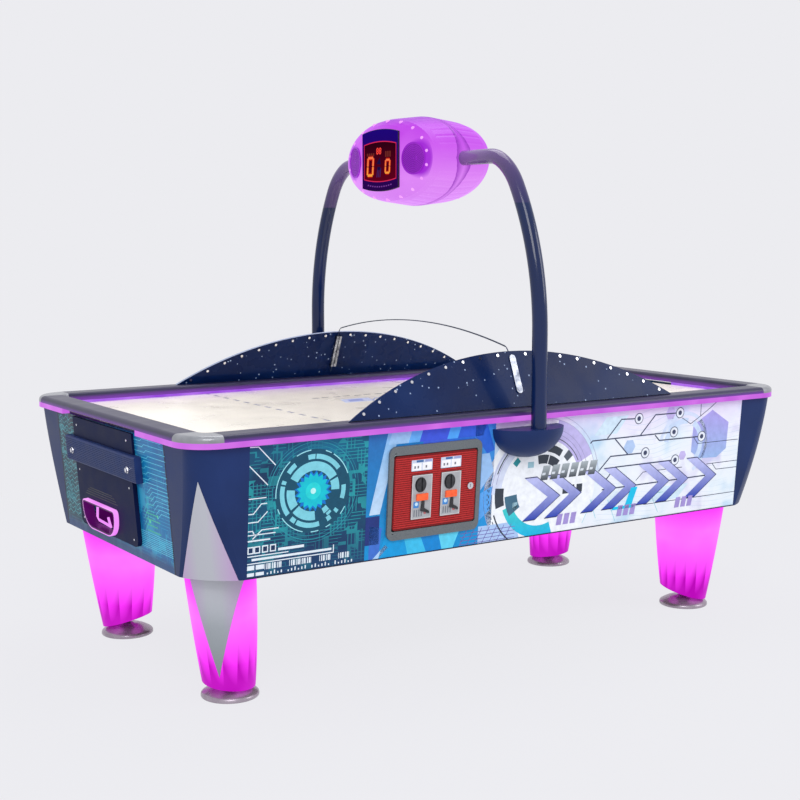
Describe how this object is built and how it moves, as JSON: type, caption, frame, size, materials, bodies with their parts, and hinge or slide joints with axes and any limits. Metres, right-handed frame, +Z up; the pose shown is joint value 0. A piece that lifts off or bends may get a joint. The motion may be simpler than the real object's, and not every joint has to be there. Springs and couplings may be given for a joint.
{
  "type": "air hockey table",
  "caption": "Coin-operated air hockey table with lit shell legs, arched guards, a clear centre shield and a scoreboard pod on bent arms.",
  "frame": {"origin": "on the floor under the middle of the table", "axes": "+X along the table, -Y the side with the coin door, +Z up"},
  "size_m": [2.4, 1.4758, 1.8094],
  "materials": {
    "printed_panel": "laminate printed with a circuit pattern, satin",
    "board": "black painted board, matt",
    "silver_trim": "silver lacquer, satin",
    "black_steel": "black powder coat",
    "playfield": "warm white back-lit sheet, polished",
    "violet_light": "translucent, lit violet",
    "magenta_light": "translucent, lit magenta",
    "rail": "dark blue-grey lacquer, satin",
    "rail_cap": "silver grey lacquer, satin",
    "galvanised": "galvanised sheet steel",
    "black_plastic": "moulded black plastic, matt",
    "navy_metal": "navy gloss powder coat",
    "navy_plastic": "moulded navy plastic, gloss",
    "pod_shell": "ribbed translucent shell, lit magenta",
    "display": "dark smoked window with a lit score",
    "grille": "moulded dark violet plastic",
    "guard": "dark navy sheet, gloss",
    "stud": "white rivet head",
    "polished_metal": "polished",
    "clear_sheet": "clear sheet, polished edge",
    "grey_metal": "grey powder coat, satin",
    "red_metal": "red powder coat, ribbed",
    "brushed_plate": "brushed, clear lacquer",
    "orange_button": "translucent orange, gloss",
    "bumper": "ribbed navy rubber, satin",
    "cover": "moulded dark violet-grey plastic, satin",
    "leg_shell": "translucent shell, lit magenta"
  },
  "bodies": {
    "root": {"side_panel_front": "printed_panel", "side_panel_rear": "printed_panel", "end_panel_left": "printed_panel", "end_panel_right": "printed_panel", "bottom_board": "board", "corner_post_blades": "silver_trim", "leg_blades": "silver_trim", "leg_posts": "black_steel", "playfield": "playfield", "field_light_strips": "violet_light", "neon_strips": "magenta_light", "rail_front": "rail", "rail_rear": "rail", "rail_left": "rail", "rail_right": "rail", "rail_corner_caps": "rail_cap", "plenum": "board", "blower_housing": "galvanised", "blower_motor": "galvanised", "arm_front": "navy_metal", "arm_rear": "navy_metal", "arm_brackets": "navy_plastic", "scoreboard_shell_left": "pod_shell", "scoreboard_shell_right": "pod_shell", "scoreboard_displays": "display", "speaker_grilles": "grille", "guard_front": "guard", "guard_rear": "guard", "guard_studs": "stud", "shield_clamps": "polished_metal", "centre_shield": "clear_sheet", "coin_door_frame": "grey_metal", "cash_box": "galvanised", "end_bumpers": "bumper", "end_plates": "cover", "return_covers": "cover", "return_bezels": "magenta_light", "return_chutes": "black_plastic", "corner_post_front_left": "navy_plastic", "leg_shell_front_left": "leg_shell", "corner_post_front_right": "navy_plastic", "leg_shell_front_right": "leg_shell", "corner_post_rear_left": "navy_plastic", "leg_shell_rear_left": "leg_shell", "corner_post_rear_right": "navy_plastic", "leg_shell_rear_right": "leg_shell"},
    "coin_door": {"coin_door": "red_metal", "coin_plates": "brushed_plate"},
    "door_lock": {"door_lock": "polished_metal"},
    "reject_button_left": {"reject_button_left": "orange_button"},
    "reject_button_right": {"reject_button_right": "orange_button"},
    "impeller": {"impeller": "black_plastic"},
    "foot_pad_front_left": {"foot_pad_front_left": "polished_metal"},
    "foot_stem_front_left": {"foot_stem_front_left": "black_steel"},
    "foot_pad_front_right": {"foot_pad_front_right": "polished_metal"},
    "foot_stem_front_right": {"foot_stem_front_right": "black_steel"},
    "foot_pad_rear_left": {"foot_pad_rear_left": "polished_metal"},
    "foot_stem_rear_left": {"foot_stem_rear_left": "black_steel"},
    "foot_pad_rear_right": {"foot_pad_rear_right": "polished_metal"},
    "foot_stem_rear_right": {"foot_stem_rear_right": "black_steel"}
  },
  "joints": [
    {"name": "coin_door_hinge", "type": "hinge", "parent": "root", "child": "coin_door", "pos_m": [-0.505, -0.62387, 0.61053], "axis": [0, 0.0777, -0.997], "range_deg": [0, 110]},
    {"name": "door_lock_turn", "type": "hinge", "parent": "coin_door", "child": "door_lock", "pos_m": [-0.22, -0.62686, 0.6103], "axis": [0, 0.997, 0.0777], "range_deg": [0, 90]},
    {"name": "reject_button_left_press", "type": "slide", "parent": "coin_door", "child": "reject_button_left", "axis": [0, 0.997, 0.0777], "range_m": [0, 0.003], "stiffness_N_per_m": 400, "springref_m": -0.003},
    {"name": "reject_button_right_press", "type": "slide", "parent": "coin_door", "child": "reject_button_right", "axis": [0, 0.997, 0.0777], "range_m": [0, 0.003], "stiffness_N_per_m": 400, "springref_m": -0.003},
    {"name": "impeller_spin", "type": "hinge", "parent": "root", "child": "impeller", "pos_m": [0.25, 0, 0.65], "axis": [0, 0, 1], "continuous": true},
    {"name": "foot_drop_front_left", "type": "slide", "parent": "root", "child": "foot_pad_front_left", "axis": [0, 0, -1], "range_m": [0, 0.03]},
    {"name": "foot_turn_front_left", "type": "hinge", "parent": "foot_pad_front_left", "child": "foot_stem_front_left", "pos_m": [-0.96, -0.402, 0.03], "axis": [0, 0, 1], "range_deg": [0, 5400]},
    {"name": "foot_drop_front_right", "type": "slide", "parent": "root", "child": "foot_pad_front_right", "axis": [0, 0, -1], "range_m": [0, 0.03]},
    {"name": "foot_turn_front_right", "type": "hinge", "parent": "foot_pad_front_right", "child": "foot_stem_front_right", "pos_m": [0.96, -0.402, 0.03], "axis": [0, 0, 1], "range_deg": [0, 5400]},
    {"name": "foot_drop_rear_left", "type": "slide", "parent": "root", "child": "foot_pad_rear_left", "axis": [0, 0, -1], "range_m": [0, 0.03]},
    {"name": "foot_turn_rear_left", "type": "hinge", "parent": "foot_pad_rear_left", "child": "foot_stem_rear_left", "pos_m": [-0.96, 0.402, 0.03], "axis": [0, 0, 1], "range_deg": [0, 5400]},
    {"name": "foot_drop_rear_right", "type": "slide", "parent": "root", "child": "foot_pad_rear_right", "axis": [0, 0, -1], "range_m": [0, 0.03]},
    {"name": "foot_turn_rear_right", "type": "hinge", "parent": "foot_pad_rear_right", "child": "foot_stem_rear_right", "pos_m": [0.96, 0.402, 0.03], "axis": [0, 0, 1], "range_deg": [0, 5400]}
  ],
  "couplings": [
    {"joint": "foot_turn_front_left", "follows": "foot_drop_front_left", "rad_per_m": 3141.6},
    {"joint": "foot_turn_front_right", "follows": "foot_drop_front_right", "rad_per_m": 3141.6},
    {"joint": "foot_turn_rear_left", "follows": "foot_drop_rear_left", "rad_per_m": 3141.6},
    {"joint": "foot_turn_rear_right", "follows": "foot_drop_rear_right", "rad_per_m": 3141.6}
  ]
}
